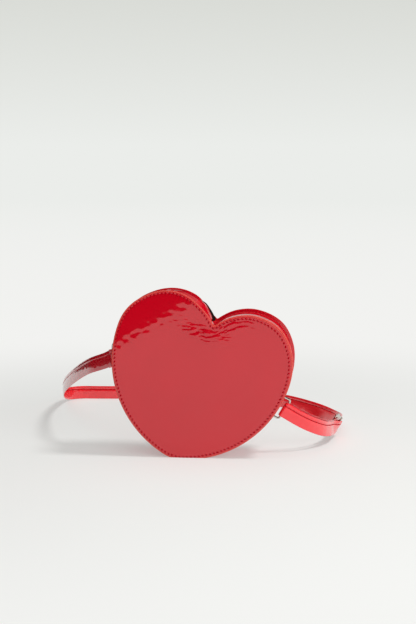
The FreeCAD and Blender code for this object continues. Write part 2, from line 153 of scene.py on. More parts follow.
# Pivot, way out of the gusset and way along the rim, for the strap's two rings
right_ring = (Vector((82.154, 0, 54.231)), Vector((0.84141, 0, -0.540398)), Vector((0.540398, 0, 0.84141)))
left_ring = (Vector((-92.957, 0, 106.434)), Vector((-0.999964, 0, 0.008539)), Vector((0.008539, 0, 0.999964)))

# The strap's middle line by hand-set points, close to the solids' own
left_route = [
    (-115.75, 23.5, 95.6), (-130.2, 40.7, 89.1), (-141.5, 64.0, 82.0), (-158.0, 100.0, 69.6),
    (-178.0, 150.0, 52.5), (-195.0, 203.0, 35.5), (-205.0, 255.0, 19.5), (-208.0, 294.0, 9.8),
    (-194.0, 314.0, 8.6), (-167.0, 314.0, 8.6), (-122.0, 318.0, 8.6), (-57.0, 325.0, 8.6),
    (-27.0, 321.5, 8.6),
]
right_route = [
    (-27.0, 321.5, 8.6), (3.0, 318.0, 8.6), (53.0, 298.0, 8.6), (87.0, 268.0, 8.6),
    (111.0, 236.0, 8.6), (129.0, 206.0, 8.6), (142.5, 176.0, 8.6), (151.5, 147.0, 9.7),
    (150.61, 132.6, 10.26), (148.92, 123.1, 11.35),
]
# The loop through the right ring, by distance out of the gusset and to the back
loop_back_route = [(73.9, 97.4), (63.9, 50.4), (32.5, 14.3), (12.0, 6.8)]
loop_front_route = [
    (12.0, 6.8), (9.93, 6.06), (7.76, 5.27), (9.34, 0.95), (12.1, 1.95), (36.0, 8.0), (60.0, 33.0),
    (70.0, 60.0), (73.5, 77.0), (78.2, 88.0), (80.25, 97.04), (80.71, 99.19), (76.41, 100.11),
    (75.95, 97.96), (73.45, 86.22),
]


def paint(code):
    """An sRGB hex colour as linear RGBA."""
    shares = [int(code[i:i + 2], 16) / 255 for i in (0, 2, 4)]
    linear = [c / 12.92 if c <= 0.04045 else ((c + 0.055) / 1.055) ** 2.4 for c in shares]
    return (*linear, 1)


def add_node(tree, kind, sockets=None, **settings):
    """Adds a shader node; sockets gives a value, or another node's output, for each input by name."""
    node = tree.nodes.new(kind)
    for key, value in settings.items():
        setattr(node, key, value)
    for key, value in (sockets or {}).items():
        if isinstance(value, bpy.types.NodeSocket):
            tree.links.new(value, node.inputs[key])
        else:
            node.inputs[key].default_value = value
    return node


def new_material(name, **values):
    """A material with its shader's values set, its nodes, its shader and the place on the piece."""
    material = bpy.data.materials.new(name)
    material.use_nodes = True
    shader = material.node_tree.nodes["Principled BSDF"]
    for key, value in values.items():
        shader.inputs[key.replace("_", " ")].default_value = value
    place = add_node(material.node_tree, "ShaderNodeTexCoord").outputs["Object"]
    return material, material.node_tree, shader, place


def per_metre(size):
    """Texture scale that repeats about once in a size in millimetres."""
    return 1 / (size * mm)


def patches(tree, place, size, detail, distortion=0.0):
    """Cloudy patches of about a size in millimetres."""
    return add_node(tree, "ShaderNodeTexNoise", {
        "Vector": place, "Scale": per_metre(size), "Detail": detail, "Distortion": distortion}).outputs["Fac"]


def bands(tree, place, size, wobble, direction):
    """Bands that repeat at a size in millimetres; at scale 1 the node repeats in a 20th of a turn's length."""
    return add_node(tree, "ShaderNodeTexWave", {
        "Vector": place, "Scale": per_metre(size) * math.tau / 20, "Distortion": wobble},
        bands_direction=direction).outputs["Fac"]


def reckon(tree, operation, first, second):
    """One sum on two values."""
    return add_node(tree, "ShaderNodeMath", {0: first, 1: second}, operation=operation).outputs[0]


def ramp(tree, value, start, end, **settings):
    """0 to 1 as a value goes from start to end."""
    return add_node(tree, "ShaderNodeMapRange", {
        "Value": value, "From Min": start, "From Max": end}, **settings).outputs["Result"]


def mixed(tree, share, first, second):
    """A colour between two sRGB colours."""
    return add_node(tree, "ShaderNodeMixRGB", {
        "Fac": share, "Color1": paint(first), "Color2": paint(second)}).outputs["Color"]


def tint(tree, shader, pattern, dark, light):
    """Colours a shader between two sRGB colours by a pattern."""
    tree.links.new(mixed(tree, pattern, dark, light), shader.inputs["Base Color"])


def emboss(tree, shader, pattern, strength, depth, under=None):
    """Raises a pattern by a depth in millimetres, over the relief under it, and gives the new relief."""
    sockets = {"Height": pattern, "Strength": strength, "Distance": depth * mm}
    if under is not None:
        sockets["Normal"] = under
    relief = add_node(tree, "ShaderNodeBump", sockets).outputs["Normal"]
    tree.links.new(relief, shader.inputs["Normal"])
    return relief


def patent_pvc():
    """Patent PVC: a calendered red sheet under a clear poured gloss coat. The eye sees deep red with
    sharp, slightly swimming reflections."""
    material, tree, shader, place = new_material(
        "patent PVC, calendered with a clear gloss coat", Roughness=0.32, Specular_IOR_Level=0.12,
        Coat_Weight=1.0, Coat_Roughness=0.03, Coat_IOR=1.65)
    tint(tree, shader, patches(tree, place, 45, 2), "c40018", "ce011c")
    swim = emboss(tree, shader, patches(tree, place, 11, 1), 1.0, 0.05)
    peel = emboss(tree, shader, patches(tree, place, 1.6, 1), 1.0, 0.004, swim)
    tree.links.new(peel, shader.inputs["Coat Normal"])
    return material


def strap_facing_pvc():
    """PVC facing on the strap's inner side: a brighter red, smooth but less deeply glazed."""
    material, tree, shader, place = new_material(
        "PVC strap facing, smooth rolled", Roughness=0.3, Specular_IOR_Level=0.15, Coat_Weight=1.0,
        Coat_Roughness=0.06, Coat_IOR=1.75)
    tint(tree, shader, patches(tree, place, 14, 3), "f61c28", "fb303a")
    emboss(tree, shader, patches(tree, place, 2.0, 2), 0.6, 0.03)
    return material


def cut_pvc_edge():
    """The sheets' knife-cut edges: raw PVC with no coat, a paler coral that scatters the light."""
    material, tree, shader, place = new_material("PVC, knife-cut edge", Roughness=0.45, IOR=1.53)
    drag = patches(tree, place, 0.8, 4)
    tint(tree, shader, drag, "d03c36", "e4564c")
    emboss(tree, shader, drag, 0.4, 0.06)
    return material


def sewing_thread(name, dark, light):
    """Bonded polyester thread, twisted from three plies: matt against the gloss, with slanting ply marks."""
    material, tree, shader, place = new_material(name, Roughness=0.7, Specular_IOR_Level=0.1)
    plies = bands(tree, place, 0.9, 2.0, "DIAGONAL")
    tint(tree, shader, plies, dark, light)
    emboss(tree, shader, plies, 0.6, 0.08)
    return material


def woven_cloth(name, dark, light, thread_size, roughness):
    """Plain-woven polyester: crossing threads that show as a fine grid of raised squares."""
    material, tree, shader, place = new_material(name, Roughness=roughness, Sheen_Weight=0.2)
    warp, weft, rise = (bands(tree, place, thread_size, 0.6, direction) for direction in "XYZ")
    weave = reckon(tree, "MULTIPLY", reckon(tree, "MAXIMUM", warp, weft), rise)
    tint(tree, shader, weave, dark, light)
    emboss(tree, shader, weave, 0.7, 0.12)
    return material


def grey_board():
    """Grey board, pressed from pulp: matt, with short fibres a little lighter and darker."""
    material, tree, shader, place = new_material("grey board, pressed pulp", Roughness=0.85)
    fibres = patches(tree, place, 1.2, 6)
    tint(tree, shader, fibres, "8a8074", "b3a898")
    emboss(tree, shader, fibres, 0.4, 0.05)
    return material


def moulded_zip_plastic():
    """Acetal, injection moulded in black: a soft sheen with a faint spark-eroded grain."""
    material, tree, shader, place = new_material("acetal, moulded black", Roughness=0.38, IOR=1.48)
    grain = patches(tree, place, 0.5, 3)
    tint(tree, shader, grain, "17140f", "262320")
    emboss(tree, shader, grain, 0.3, 0.03)
    return material


def nickel_plate():
    """Steel wire and zinc castings, barrelled and nickel plated: bright silver, with fine rub marks."""
    material, tree, shader, place = new_material("nickel plate over steel, barrel polished", Metallic=1.0)
    rubs = patches(tree, place, 1.5, 5, 1.5)
    tint(tree, shader, rubs, "c9c5bc", "e6e3dc")
    wear = add_node(tree, "ShaderNodeMapRange", {"Value": rubs, "To Min": 0.08, "To Max": 0.24})
    tree.links.new(wear.outputs["Result"], shader.inputs["Roughness"])
    emboss(tree, shader, rubs, 0.15, 0.02)
    return material


patent = patent_pvc()
strap_facing = strap_facing_pvc()
cut_edge = cut_pvc_edge()
thread = sewing_thread("polyester thread, dark red, twisted and bonded", "a60014", "b4061c")
strap_thread = sewing_thread("polyester thread, red, twisted and bonded", "b80a1e", "cc1428")
lining_cloth = woven_cloth("polyester lining, plain woven", "3a0810", "5a1019", 0.8, 0.7)
tape_cloth = woven_cloth("polyester zip tape, woven black", "0d0b0a", "221f1c", 0.9, 0.75)
board = grey_board()
zip_plastic = moulded_zip_plastic()
nickel = nickel_plate()


def stand(u, v, y):
    """A point of the upright heart, leaned over and stood on the floor."""
    x = u * math.cos(lean) + v * math.sin(lean) + tip_place[0]
    z = -u * math.sin(lean) + v * math.cos(lean) + tip_place[1]
    return Vector((x, y, max(z, 0)))


def eased(share):
    """A share from 0 to 1 with a soft start and end."""
    share = min(1, max(0, share))
    return share * share * (3 - 2 * share)


def between(pairs, place):
    """A value eased between hand-set pairs of a place and a value, and held beyond the ends."""
    if place <= pairs[0][0]:
        return pairs[0][1]
    for (start, before), (end, after) in zip(pairs, pairs[1:]):
        if place <= end:
            return before + (after - before) * eased((place - start) / (end - start))
    return pairs[-1][1]


def hump(offset, width):
    """A bell-shaped share: 1 at no offset, and little left beyond the width."""
    return math.exp(-(offset / width) ** 2)


def at_turn(bulge, turn):
    """A bulge's height at a direction round its centre."""
    height, middle, spread = bulge
    return height * hump(turn - middle, spread)


def from_centre(u, v, centre):
    """A point's two distances from a centre, and its direction from there in degrees."""
    across, up = u - centre[0], v - centre[1]
    return across, up, math.degrees(math.atan2(up, across))


def beyond_fold(u, v):
    """How far a point lies beyond the line where the left lobe's sheets start to lie back."""
    return (u - fold_from[0]) * fold_normal[0] + (v - fold_from[1]) * fold_normal[1]


def by_panel(y):
    """The share of a change that is felt at a depth: none along the zip, where the slider runs, and all
    at the panels."""
    return min(1, max(0, (abs(y) - slider_room) / (half_depth - slider_room)))


def left_fullness(u, v, y):
    """How the left lobe's two edges are drawn in."""
    across, up, turn = from_centre(u, v, zip_centre)
    edge = by_panel(y)
    front = edge if y < 0 else 0
    dip = edge * at_turn(left_dip, turn) + front * at_turn(left_front_dip, turn)
    share = dip * (across * across + up * up) / lobe_radius ** 3
    return u - across * share, v - up * share


def right_fullness(u, v, y):
    """How the right lobe leaves its cut circle: out at the upper right, in at the side, top and front."""
    across, up, turn = from_centre(u, v, right_lobe)
    front = min(1, -y / half_depth) if y < 0 else 0
    dip = at_turn(right_side_dip, turn) + at_turn(right_top_dip, turn) + front * at_turn(right_front_dip, turn)
    share = (at_turn(right_bulge, turn) - dip) * (across * across + up * up) / lobe_radius ** 3
    return u + across * share, v + up * share


def lie_back(u, v, y, seam=None):
    """The soft bag's own shape: the left lobe's two sides lean towards each other. Outside the seam the
    sheets stand flat, so a point there leans only as far as its place on the seam does."""
    lean_u, lean_v = seam or (u, v)
    if y < 0:
        u += notch_shift * by_panel(y) * hump(u, shift_reach[0]) * hump(v - notch_height, shift_reach[1])
    u, v = right_fullness(u, v, y) if u > 0 else left_fullness(u, v, y)
    sag = notch_sag * hump(u, sag_reach[0]) * hump(max(0, notch_height - v), sag_reach[1])
    v -= sag * eased(abs(y) - slider_room)
    beyond = (beyond_fold(lean_u, lean_v) - fold_start) / fold_soft
    slack = math.log1p(math.exp(beyond)) * fold_soft * fold_slope
    if y > 0:
        across, up, turn = from_centre(u, v, zip_centre)
        share = eased((turn - slump_start[0]) / slump_start[1]) * eased((slump_end[0] - turn) / slump_end[1])
        share *= eased((-slump_clear[0] - u) / slump_clear[1]) * (across * across + up * up) / lobe_radius ** 2
        slump = lobe_slump + at_turn(notch_slump, turn)
        sink = slump * share * by_panel(y) / max(1, math.hypot(across, up))
        u -= across * sink
        v -= up * sink
    return stand(u, v, y * (1 - slack / half_depth))


def rim_marks(arcs, open_ended):
    """Places along the rim: arc centre, radius, direction and whether the arc shrinks inwards."""
    marks = []
    for centre, radius, first, last, inward in arcs:
        length = math.radians(abs(last - first)) * max(radius, least_radius)
        count = max(2, round(length / rim_step))
        for i in range(count):
            angle = math.radians(first + (last - first) * i / count)
            marks.append((centre, radius, angle, inward))
    if open_ended:
        marks.append((centre, radius, math.radians(last), inward))
    return marks


def drawn_in(mark, inset):
    """The place at an inset from the rim."""
    centre, radius, angle, inward = mark
    reach = radius - inward * inset
    return centre[0] + reach * math.cos(angle), centre[1] + reach * math.sin(angle)


def new_piece(name, points, faces, material, body="bag", second=None, in_second=()):
    """A smooth mesh from points in millimetres; a piece with no body is blended later. The faces
    marked in in_second take the second material."""
    mesh = bpy.data.meshes.new(name)
    mesh.from_pydata([Vector(point) * mm for point in points], [], faces)
    shape = bmesh.new()
    shape.from_mesh(mesh)
    bmesh.ops.recalc_face_normals(shape, faces=shape.faces)
    shape.to_mesh(mesh)
    shape.free()
    mesh.polygons.foreach_set("use_smooth", [True] * len(mesh.polygons))
    mesh.set_sharp_from_angle(angle=sharp_from)
    mesh.materials.append(material)
    if second:
        mesh.materials.append(second)
        marked = list(in_second) + [False] * (len(mesh.polygons) - len(in_second))
        mesh.polygons.foreach_set("material_index", [int(mark) for mark in marked])
    piece = bpy.data.objects.new(name, mesh)
    bpy.context.collection.objects.link(piece)
    if body:
        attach(piece, body)
    return piece


def skin(rings):
    """Points and faces over rings of equally many points, each ring closed, with both ends capped."""
    count = len(rings[0])
    last = (len(rings) - 1) * count
    points = [point for ring in rings for point in ring]
    faces = []
    for here in range(0, last, count):
        there = here + count
        for j in range(count):
            k = (j + 1) % count
            faces.append((here + j, here + k, there + k, there + j))
    faces.append(tuple(range(count)))
    faces.append(tuple(range(last, last + count)))
    return points, faces


def creased(along, over, size, seed):
    """Random creases of about a length and a height in millimetres."""
    return noise.noise(Vector((along / size[0], over / size[1], seed)))


def in_area(area, along, over):
    """The share of an area's creases that a place has."""
    return hump(along - area[0], area[1]) * hump(over - area[2], area[3])


def crinkle(u, v, seed):
    """Fine creases in the sheet on both sides of the notch and where the left lobe folds back, and a swell
    below the notch."""
    at = stand(u, v, 0)
    across, up = u - right_lobe[0], v - right_lobe[1]
    turn, reach = math.atan2(up, across), math.hypot(across, up)
    along = turn * right_area[2]
    near_fold = hump(beyond_fold(u, v) - fold_area[0], fold_area[1])
    near_fold *= min(1, max(0, (fold_fade[0] - u) / fold_fade[1]))
    streaks = creased(at.x, at.z, long_streak, seed) + 0.7 * creased(at.x, at.z, short_streak, seed + 2)
    rows = creased(along, reach, long_row, seed + 5) + 0.6 * creased(along, reach, short_row, seed + 4)
    rise = left_crease * streaks * in_area(left_area, u, v)
    rise += right_crease * rows * in_area(right_area, turn, reach)
    rise += fold_crease * near_fold * creased(at.x, at.z, fold_size, seed + 7)
    rise += notch_swell * in_area(swell_area, u, v)
    return rise + sheet_ripple * creased(at.x, at.z, ripple_size, seed + 3)


def seam_margin(mark):
    """The sewn margin, wider round the upper right."""
    turn = from_centre(*drawn_in(mark, 0), panel_middle)[2]
    return seam_inset + at_turn(wide_margin, turn)


def with_margin(mark, inset):
    """An inset by the rim, shifted as the seam's margin is."""
    share = inset / seam_inset
    if inset >= seam_inset:
        share = max(0, (margin_end - inset) / (margin_end - seam_inset))
    return inset + (seam_margin(mark) - seam_inset) * share


def heart_sheet(name, side, edge, material, seed=None):
    """A heart cut from sheet. edge runs from the hidden face round to the shown one, by inset and by
    depth below the bag's outer plane; side is -1 at the front. A seed gives it creases, the seam's margin
    and a cut edge."""
    marks = rim_marks(band_arcs + zip_arcs, False)
    inner_steps, outer_steps, cut_steps = 6, 84, 10
    held_inset, held_ramp, usual_reach, face_depth = 3.6, 4, 60, 0.5

    def ring(inset, depth, share=1.0):
        """The rim at an inset and a depth, drawn together to a share of its size."""
        points = []
        clear = inset + usual_reach * (1 - share) - held_inset
        loose = min(1, max(0, clear / held_ramp)) if depth < face_depth and seed else 0
        for mark in marks:
            u, v = drawn_in(mark, with_margin(mark, inset) if seed else inset)
            u = panel_middle[0] + share * (u - panel_middle[0])
            v = panel_middle[1] + share * (v - panel_middle[1])
            rise = loose * crinkle(u, v, seed) if loose else 0
            seam = drawn_in(mark, seam_inset) if inset < seam_inset else None
            points.append(lie_back(u, v, side * (half_depth - depth + rise), seam))
        return points

    rings = [ring(*edge[0], (i + 1) / inner_steps) for i in range(inner_steps - 1)]
    rings += [ring(inset, depth) for inset, depth in edge]
    rings += [ring(*edge[-1], 1 - (i + 1) / outer_steps) for i in range(outer_steps - 1)]
    points, faces = skin(rings)
    rows = [i // len(marks) for i in range(len(marks) * (len(rings) - 1))]
    cut = [inner_steps <= row < inner_steps + cut_steps for row in rows]
    return new_piece(name, points, faces, material, second=cut_edge, in_second=cut if seed else ())


def rim_band(name, arcs, profile, material, raised=None):
    """A band along the rim, by the outline of its cut in inset and depth from the front. raised tells how
    far the band is puckered out of the rim at a mark and a depth."""
    rings = []
    for mark in rim_marks(arcs, True):
        ring = []
        for inset, y in profile:
            seam = drawn_in(mark, seam_inset) if inset < seam_inset else None
            pucker = raised(mark, y) if raised else 0
            ring.append(lie_back(*drawn_in(mark, inset - pucker), y, seam))
        rings.append(ring)
    points, faces = skin(rings)
    return new_piece(name, points, faces, material)


def rounded(corners, steps=4):
    """A polygon with its corners turned on radii; each corner is two places and a radius."""
    outline = []
    for i, (a, b, radius) in enumerate(corners):
        here = Vector((a, b))
        back = Vector(corners[i - 1][:2]) - here
        ahead = Vector(corners[(i + 1) % len(corners)][:2]) - here
        start = here + back.normalized() * radius
        end = here + ahead.normalized() * radius
        for k in range(steps + 1):
            t = k / steps
            point = start * (1 - t) ** 2 + here * 2 * t * (1 - t) + end * t ** 2
            outline.append(tuple(point))
    return outline


# A stitch lengthwise: shares of its length, of its thickness and of how far it stands out of the sheet
stitch_shape = [
    (-0.5, 0.35, -0.9), (-0.42, 0.8, -0.1), (-0.15, 1.0, 0.3), (0.15, 1.0, 0.3), (0.42, 0.8, -0.1),
    (0.5, 0.35, -0.9),
]
stitch_sides = 6


def one_stitch(middle, way, up, length, thick):
    """A stitch's points and faces."""
    across = way.cross(up)
    rings = []
    for along, swell, lift in stitch_shape:
        centre = middle + way * (along * length) + up * (lift * thick / 2)
        turns = [2 * math.pi * k / stitch_sides for k in range(stitch_sides)]
        rings.append([centre + (across * math.cos(turn) + up * math.sin(turn)) * swell * thick / 2
                      for turn in turns])
    return skin(rings)


def stitches(name, rows, pitch, length, thick, material, body="bag", slant=0):
    """Sewn rows. Each row is a list of points with the way out of the sheet there; slant turns each
    stitch in the sheet's plane."""
    points, faces = [], []
    for row in rows:
        run = 0.0
        due = pitch / 2
        for (start, out), (end, out_end) in zip(row, row[1:]):
            step = (end - start).length
            while due <= run + step and step > 0:
                share = (due - run) / step
                up = (out * (1 - share) + out_end * share).normalized()
                way = Matrix.Rotation(slant, 3, up) @ (end - start).normalized()
                base = len(points)
                new_points, new_faces = one_stitch(start + (end - start) * share, way, up, length, thick)
                points += new_points
                faces += [tuple(base + i for i in face) for face in new_faces]
                due += pitch
            run += step
    return new_piece(name, points, faces, material, body)


# Panels: the edge between rim and seam is rounded over, and the seam pulls a groove
panel_edge = [
    (7.0, 1.2), (0.6, 1.2), (0.2, 1.12), (0.0, 0.98), (0.04, 0.8), (0.2, 0.6), (0.45, 0.4), (0.72, 0.28),
    (0.8, 0.6), (0.92, 0.6), (1.0, 0.2), (1.5, 0.12), (2.1, 0.04), (2.6, 0.02), (2.95, 0.06), (3.2, 0.09),
    (3.45, 0.06), (3.8, 0.02), (4.3, 0.0), (5.0, 0.0), (6.5, 0.0), (8.0, 0.0),
]
board_edge = [(6.0, 2.6), (6.0, 1.3)]
lining_edge = [(6.0, 3.2), (6.0, 2.75)]
for label, side, seed in (("front", -1, 2.0), ("back", 1, 31.0)):
    panel = heart_sheet(label + "_heart_panel", side, panel_edge, patent, seed)
    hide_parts(label + "_panel")
    stiffener = heart_sheet(label + "_stiffening_board", side, board_edge, board)
    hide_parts(label + "_board")
    cloth = heart_sheet(label + "_lining_cloth", side, lining_edge, lining_cloth)
    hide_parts(label + "_lining")
    marks = rim_marks(band_arcs + zip_arcs, False)
    marks.append(marks[0])
    outer_row, inner_row = [], []
    for mark in marks:
        outer_place = lie_back(*drawn_in(mark, seam_margin(mark)), side * (half_depth - seam_sink))
        inner_place = lie_back(*drawn_in(mark, flange_row[0]), side * (half_depth - flange_row[1]))
        outer_row.append((outer_place, Vector((0, side, 0))))
        inner_row.append((inner_place, Vector((0, -side, 0))))
    seam = stitches(label + "_panel_seam", [outer_row], seam_pitch, stitch_length, panel_thread, thread,
                    slant=stitch_slant)
    flange_seam = stitches(label + "_flange_seam", [inner_row], seam_pitch, stitch_length, flange_thread,
                           strap_thread)

# Over the left lobe the front of the band puckers up into a ridge, and by the notch the zip tape's edge
# stands out above it. Pairs of a direction round the lobe and a height, or the share of it left at the
# ridge's edge.
strip_ridge = (
    (39.8, 0), (41, 3.2), (44, 4.4), (48, 5.0), (55, 5.7), (62, 6.2), (69, 6.2), (84, 5.4), (100, 3.4),
    (122, 0))
strip_edge = ((58, 1), (77, 0.1))
tape_stand = (
    (40, 6.4), (42, 5.2), (44, 4.4), (48, 3.6), (55, 2.5), (62, 1.8), (69, 1.4), (78, 0.7), (90, 0))
# Depths of the ridge's foot and crest, of the strip's edge, of the tape's part under the strip and of its bend
ridge_foot = -25.0
ridge_depth = -12.5
strip_end = -5.5
tape_covered = -5.2
tape_bend = (-5.0, -3.8)


def strip_pucker(mark, y):
    """How far the band stands out of the rim, by the place round the left lobe and the depth."""
    turn = math.degrees(mark[2])
    if mark[0] != zip_centre or y > tape_bend[0]:
        return 0
    if y < ridge_depth:
        return between(strip_ridge, turn) * eased((y - ridge_foot) / (ridge_depth - ridge_foot))
    fall = 1 - between(strip_edge, turn)
    return between(strip_ridge, turn) * (1 - fall * eased((y - ridge_depth) / (strip_end - ridge_depth)))


def tape_pucker(mark, y):
    """How far the zip tape stands out of the rim: with the strip under it, and up at its edge."""
    if y < tape_covered:
        return strip_pucker(mark, y)
    turn = math.degrees(mark[2])
    stand_out = between(strip_ridge, turn) * between(strip_edge, turn) + between(tape_stand, turn)
    return stand_out * min(1, max(0, (tape_bend[1] - y) / (tape_bend[1] - tape_bend[0])))


# Gusset: a web set in from the rim, turned out into a flange along each panel. Insets of the web's two
# faces, and depths of the flanges' two faces.
web_out, web_in = 4.0, 5.2
flange_in, flange_out = 27.6, 28.75
web_steps = (-24.0, -20.0, -16.0, -12.5, -9.0, -5.6, -4.9)
gusset_cut = rounded(
    [(0.0, -flange_out, 0.5), (web_in, -flange_out, 1.6)] + [(web_in, y, 0) for y in web_steps]
    + [(web_in, flange_out, 1.6), (0.0, flange_out, 0.5), (0.0, flange_in, 0.5), (web_out, flange_in, 0.7)]
    + [(web_out, y, 0) for y in reversed(web_steps)]
    + [(web_out, -flange_in, 0.7), (0.0, -flange_in, 0.5)], 3)
gusset = rim_band("gusset_channel", band_arcs, gusset_cut, patent, strip_pucker)
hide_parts("gusset_band")
cloth_cut = rounded([(5.3, -27.0, 0.1), (5.7, -27.0, 0.1), (5.7, 27.0, 0.1), (5.3, 27.0, 0.1)], 1)
gusset_cloth = rim_band("gusset_lining_cloth", band_arcs, cloth_cut, lining_cloth)
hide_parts("gusset_lining")

# Zip over the left lobe: a strip along each panel, its edge turned under, sewn to the tape
strip_out = 3.9
strip_row = (3.95, 8.0)
tape_out, tape_in = 5.25, 5.75
for label, side in (("front", -1), ("back", 1)):
    strip_cut = rounded(
        [(0.0, side * flange_out, 0.5), (web_in, side * flange_out, 1.6)]
        + [(web_in, side * y, 0) for y in (24, 20, 16, 12.5, 10.5, 8.5)]
        + [(web_in, side * 5.5, 0.55), (strip_out, side * 5.5, 0.55)]
        + [(strip_out, side * y, 0) for y in (8.5, 10.5, 12.5, 16)]
        + [(web_out, side * y, 0) for y in (20, 24)]
        + [(web_out, side * flange_in, 0.7), (0.0, side * flange_in, 0.5)])
    strip = rim_band(label + "_zip_facing", zip_arcs, strip_cut, patent, strip_pucker)
    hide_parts("zip_strip_" + label)
    tape_cut = rounded(
        [(tape_out, side * 15.8, 0.1), (tape_in, side * 15.8, 0.1)]
        + [(tape_in, side * y, 0) for y in (12.5, 9, 5.3)]
        + [(tape_in, side * 4.4, 0.1), (tape_in, side * 3.4, 0), (tape_in, side * 2.2, 0)]
        + [(tape_in, side * 0.8, 0.2), (tape_out, side * 0.8, 0.2)]
        + [(tape_out, side * 2.4, 0), (tape_out, side * 3.6, 0), (tape_out, side * 5.1, 0.1)]
        + [(tape_out, side * y, 0) for y in (5.6, 9, 12.5)], 2)
    tape = rim_band(label + "_zip_tape_cloth", tape_arcs, tape_cut, tape_cloth, tape_pucker)
    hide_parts("zip_tape_" + label)
    row = []
    for mark in rim_marks(zip_arcs, True):
        out = stand(math.cos(mark[2]), math.sin(mark[2]), 0) - stand(0, 0, 0)
        lift = strip_pucker(mark, side * strip_row[1])
        row.append((lie_back(*drawn_in(mark, strip_row[0] - lift), side * strip_row[1]), out))
    strip_seam = stitches(label + "_zip_seam", [row], *zip_stitch, thread)


def smooth_line(points):
    """Points along the smooth line that hand-set points draw, in millimetres."""
    curve = bpy.data.curves.new("line", "CURVE")
    curve.dimensions = "3D"
    curve.resolution_u = 16
    spline = curve.splines.new("NURBS")
    spline.points.add(len(points) - 1)
    for knot, point in zip(spline.points, points):
        knot.co = (*(Vector(point) * mm), 1)
    spline.order_u = 3
    spline.use_endpoint_u = True
    drawn = bpy.data.objects.new("line", curve)
    mesh = bpy.data.meshes.new_from_object(drawn)
    line = [vertex.co / mm for vertex in mesh.vertices]
    bpy.data.objects.remove(drawn)
    bpy.data.curves.remove(curve)
    bpy.data.meshes.remove(mesh)
    return line


def in_ring(ring, out, back, up=0.0):
    """A point by its distances from a ring's pivot: out of the gusset, to the back and along the rim."""
    pivot, outward, along = ring
    return pivot + outward * out + Vector((0, back, 0)) + along * up


def strap_frames(line, up_first, up_last, turned_by=1.0, rolls=((0, 0),)):
    """At each point of a line: the point, the way across the strap and the way out of its outer face,
    which is on the line's left as it goes, seen from above. The strap has turned to its last lean by a
    share of the line, and rolls tip its outer face upwards."""
    frames = []
    last = len(line) - 1
    for i, point in enumerate(line):
        way = (line[min(i + 1, last)] - line[max(i - 1, 0)]).normalized()
        up = up_first.lerp(up_last, min(1, i / last / turned_by))
        up = (up - way * up.dot(way)).normalized()
        out = up.cross(way)
        roll = math.radians(between(rolls, i / last))
        frames.append((point, up * math.cos(roll) - out * math.sin(roll),
                       out * math.cos(roll) + up * math.sin(roll)))
    return frames


def fuller(frames, first, last):
    """The frames with the strap wider by a share, which goes from first to last over the line's first half."""
    steps = len(frames) - 1
    return [(point, up * (1 + first + (last - first) * min(1, 2 * i / steps)), out)
            for i, (point, up, out) in enumerate(frames)]


def pressed(frames, shares):
    """The frames with the strap pressed to a share of its thickness, by pairs of a place and a share."""
    steps = len(frames) - 1
    return [(point, up, out * between(shares, i / steps)) for i, (point, up, out) in enumerate(frames)]


# The strap's cut across: a crowned strip wrapped to a double sheet and sewn by its lapped edge, which
# lies along the inner face
strap_cut = [
    (-8.5, -0.1), (-8.42, 0.2), (-8.1, 0.42), (-7.2, 0.62), (-5.5, 0.88), (-3.0, 1.12), (-0.5, 1.22),
    (1.8, 1.12), (3.3, 0.96), (3.9, 0.8), (4.25, 0.62), (4.6, 0.78), (5.2, 0.88), (6.2, 0.82), (7.3, 0.62),
    (8.1, 0.42), (8.42, 0.2), (8.5, -0.1), (8.42, -0.42), (8.1, -0.66), (7.3, -0.82), (6.2, -0.9),
    (5.2, -0.9), (4.8, -0.76), (4.5, -0.35), (4.25, 0.0), (3.9, -0.1), (3.65, -0.85), (3.3, -0.98),
    (0.0, -0.98), (-4.8, -0.9), (-6.2, -0.84), (-7.3, -0.78), (-8.1, -0.66), (-8.42, -0.42),
]
# The first of those points on the inner face, and the place of the seam
inner_from = 17
seam_across = 4.25


def uneven(point, rise):
    """How far the strap's filled middle swells or sinks at a point."""
    return strap_swell * rise * noise.noise(point / swell_length)


def strap_band(name, frames, body=None):
    """The sewn strap along its frames, with its facing on the inner side."""
    rings = []
    for point, up, out in frames:
        rings.append([point + up * across + out * (rise + uneven(point + up * across, rise))
                      for across, rise in strap_cut])
    points, faces = skin(rings)
    inner = [j >= inner_from for j in range(len(strap_cut))] * (len(rings) - 1)
    piece = new_piece(name, points, faces, patent, body, strap_facing, inner)
    return piece


def strap_seams(name, frames, body=None):
    """The one row of stitches along the strap: bright on the outer face, sunk by the lap on the inner."""
    shown = [(point + up * seam_across + out * outer_rise, out) for point, up, out in frames]
    sunk = [(point + up * (seam_across - lap_shift) - out * inner_sink, -out) for point, up, out in frames]
    pieces = [stitches(name + "_outer", [shown], *outer_stitch, strap_thread, body),
              stitches(name + "_inner", [sunk], *inner_stitch, strap_thread, body)]
    return pieces


# The strap's left end folds round the ring's outer bar and is sewn to itself
swing = math.radians(50)
bar_reach = 11.4
bar_drop = 1.5
left_bar = (bar_reach * math.cos(swing), bar_reach * math.sin(swing))


def by_left_bar(along, across, drop):
    """A point by its distances from the left ring's outer bar: along the strap, through it and down."""
    out = left_bar[0] + along * math.cos(swing) - across * math.sin(swing)
    back = left_bar[1] + along * math.sin(swing) + across * math.cos(swing)
    return in_ring(left_ring, out, back, -bar_drop - drop)


